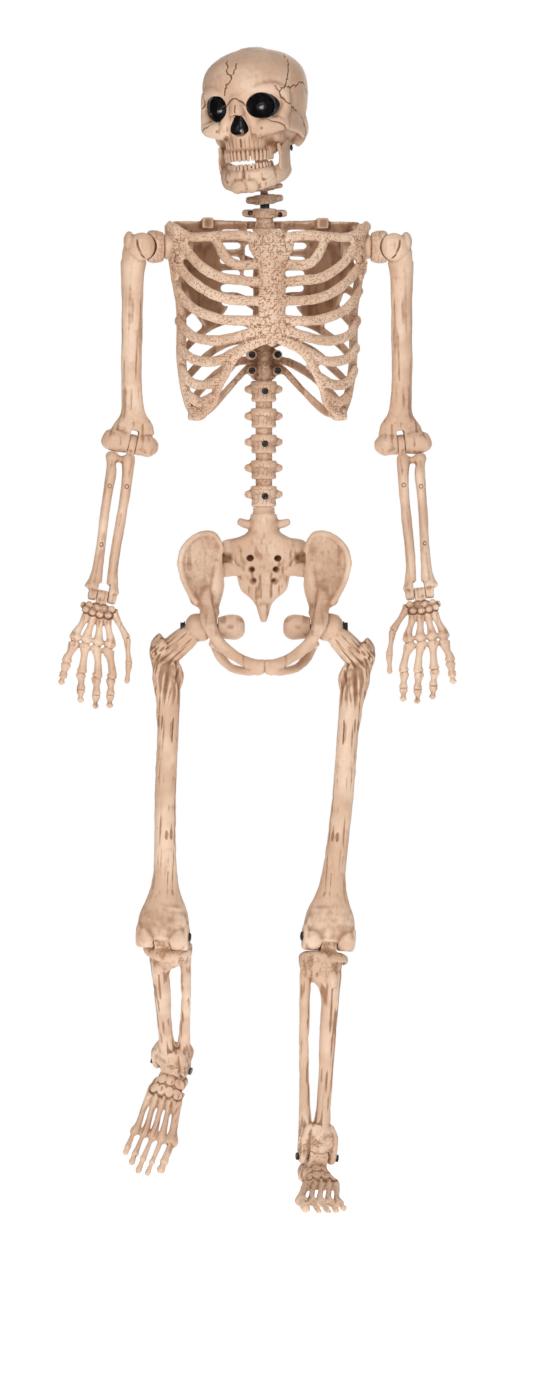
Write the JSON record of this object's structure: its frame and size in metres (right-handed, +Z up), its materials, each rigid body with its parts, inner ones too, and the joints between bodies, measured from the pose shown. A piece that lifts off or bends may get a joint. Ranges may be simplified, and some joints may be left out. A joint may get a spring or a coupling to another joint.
{
  "type": "posable skeleton figure",
  "caption": "Life-size posable plastic skeleton with turning head, hinged jaw, ribbed chest shells, screwed spine blocks and pinned arm and leg joints, hung from an eye behind the chest.",
  "frame": {"origin": "centre of the hanging eye behind the rear rib shell", "axes": "+Z up the spine, +Y towards the back, so that the chest faces -Y, and +X towards the figure's own left side, along the hanging eye"},
  "size_m": [0.526, 0.4285, 1.5339],
  "materials": {
    "bone_plastic": "satin",
    "dark_steel": "satin"
  },
  "bodies": {
    "trunk": {"rib_cage_front": "bone_plastic", "rib_cage_rear": "bone_plastic", "rib_cage_screws": "dark_steel", "spine_tube": "bone_plastic", "vertebra_t12": "bone_plastic", "vertebra_l1": "bone_plastic", "vertebra_l2": "bone_plastic", "vertebra_l3": "bone_plastic", "vertebra_l4": "bone_plastic", "vertebra_screws": "dark_steel", "waist_collar": "bone_plastic", "neck_post": "bone_plastic", "neck_vertebra_lower": "bone_plastic", "neck_nod_pin": "dark_steel"},
    "neck_link": {"neck_link": "dark_steel"},
    "upper_neck": {"neck_vertebra_upper": "bone_plastic", "neck_tilt_pin": "dark_steel"},
    "head": {"skull_front": "bone_plastic", "skull_rear": "bone_plastic", "atlas": "bone_plastic", "jaw_pin_right": "dark_steel", "jaw_pin_left": "dark_steel", "jaw_spring_right": "dark_steel", "jaw_spring_left": "dark_steel"},
    "jaw": {"jaw": "bone_plastic"},
    "pelvis": {"sacrum": "bone_plastic", "hip_bone_right": "bone_plastic", "hip_bone_left": "bone_plastic", "hip_knob_right": "bone_plastic", "hip_knob_left": "bone_plastic", "hip_bolt_right": "dark_steel", "hip_bolt_left": "dark_steel"},
    "shoulder_right": {"shoulder_head_right": "bone_plastic"},
    "arm_right": {"humerus_right": "bone_plastic", "shoulder_pin_right": "dark_steel", "elbow_pin_right": "dark_steel"},
    "forearm_right": {"forearm_right": "bone_plastic", "wrist_pin_right": "dark_steel"},
    "hand_right": {"hand_right": "bone_plastic"},
    "thigh_right": {"femur_right": "bone_plastic", "knee_pin_right": "dark_steel"},
    "shin_right": {"shin_right": "bone_plastic", "ankle_pin_right": "dark_steel"},
    "foot_right": {"foot_right": "bone_plastic"},
    "shoulder_left": {"shoulder_head_left": "bone_plastic"},
    "arm_left": {"humerus_left": "bone_plastic", "shoulder_pin_left": "dark_steel", "elbow_pin_left": "dark_steel"},
    "forearm_left": {"forearm_left": "bone_plastic", "wrist_pin_left": "dark_steel"},
    "hand_left": {"hand_left": "bone_plastic"},
    "thigh_left": {"femur_left": "bone_plastic", "knee_pin_left": "dark_steel"},
    "shin_left": {"shin_left": "bone_plastic", "ankle_pin_left": "dark_steel"},
    "foot_left": {"foot_left": "bone_plastic"}
  },
  "joints": [
    {"name": "neck_nod", "type": "hinge", "parent": "trunk", "child": "neck_link", "pos_m": [0, -0.074, 0.075], "axis": [1, 0, 0], "range_deg": [-14, 14]},
    {"name": "neck_tilt", "type": "hinge", "parent": "neck_link", "child": "upper_neck", "pos_m": [0, -0.074, 0.0925], "axis": [0, 1, 0], "range_deg": [-7.5, 16.5]},
    {"name": "head_turn", "type": "hinge", "parent": "upper_neck", "child": "head", "pos_m": [-0.00165, -0.074, 0.11343], "axis": [-0.0785, 0, 0.9969], "range_deg": [-36, 84]},
    {"name": "jaw_open", "type": "hinge", "parent": "head", "child": "jaw", "pos_m": [-0.00997, -0.08496, 0.15692], "axis": [0.9107, -0.4067, 0.0717], "range_deg": [-4.5, 13]},
    {"name": "waist_turn", "type": "hinge", "parent": "trunk", "child": "pelvis", "pos_m": [0, -0.062, -0.319], "axis": [0, 0, 1], "range_deg": [-36, 44]},
    {"name": "arm_swing_right", "type": "hinge", "parent": "trunk", "child": "shoulder_right", "pos_m": [-0.166, -0.112, 0.03], "axis": [1, 0, 0], "range_deg": [-100, 35]},
    {"name": "arm_raise_right", "type": "hinge", "parent": "shoulder_right", "child": "arm_right", "pos_m": [-0.166, -0.112, 0.03], "axis": [0, 1, 0], "range_deg": [-2.6, 67.4]},
    {"name": "elbow_right", "type": "hinge", "parent": "arm_right", "child": "forearm_right", "pos_m": [-0.17775, -0.112, -0.22873], "axis": [-0.9789, 0, 0.2045], "range_deg": [-8, 92]},
    {"name": "wrist_right", "type": "hinge", "parent": "forearm_right", "child": "hand_right", "pos_m": [-0.21946, -0.14067, -0.42842], "axis": [0.9789, 0, -0.2045], "range_deg": [-45, 45]},
    {"name": "hip_right", "type": "hinge", "parent": "pelvis", "child": "thigh_right", "pos_m": [-0.08749, -0.06591, -0.469], "axis": [0.9976, -0.0698, 0], "range_deg": [-60, 20]},
    {"name": "knee_right", "type": "hinge", "parent": "thigh_right", "child": "shin_right", "pos_m": [-0.13347, -0.06269, -0.87398], "axis": [0.9809, -0.1855, -0.0589], "range_deg": [-53.2, 31.8]},
    {"name": "ankle_right", "type": "hinge", "parent": "shin_right", "child": "foot_right", "pos_m": [-0.10276, 0.16579, -1.04828], "axis": [0.8992, -0.3397, -0.2758], "range_deg": [-20, 18]},
    {"name": "arm_swing_left", "type": "hinge", "parent": "trunk", "child": "shoulder_left", "pos_m": [0.166, -0.112, 0.03], "axis": [1, 0, 0], "range_deg": [-100, 35]},
    {"name": "arm_raise_left", "type": "hinge", "parent": "shoulder_left", "child": "arm_left", "pos_m": [0.166, -0.112, 0.03], "axis": [0, -1, 0], "range_deg": [-2.2, 67.8]},
    {"name": "elbow_left", "type": "hinge", "parent": "arm_left", "child": "forearm_left", "pos_m": [0.17594, -0.112, -0.22881], "axis": [-0.9952, 0, -0.0976], "range_deg": [-17, 83]},
    {"name": "wrist_left", "type": "hinge", "parent": "forearm_left", "child": "hand_left", "pos_m": [0.19517, -0.17223, -0.42487], "axis": [0.9952, 0, 0.0976], "range_deg": [-45, 45]},
    {"name": "hip_left", "type": "hinge", "parent": "pelvis", "child": "thigh_left", "pos_m": [0.08609, -0.07804, -0.469], "axis": [0.9976, -0.0698, 0], "range_deg": [-60, 20]},
    {"name": "knee_left", "type": "hinge", "parent": "thigh_left", "child": "shin_left", "pos_m": [0.08392, -0.07789, -0.87659], "axis": [0.9971, 0.0472, -0.0589], "range_deg": [0, 85]},
    {"name": "ankle_left", "type": "hinge", "parent": "shin_left", "child": "foot_left", "pos_m": [0.06882, -0.0766, -1.1652], "axis": [0.9775, 0.2029, -0.0571], "range_deg": [-24, 14]}
  ]
}
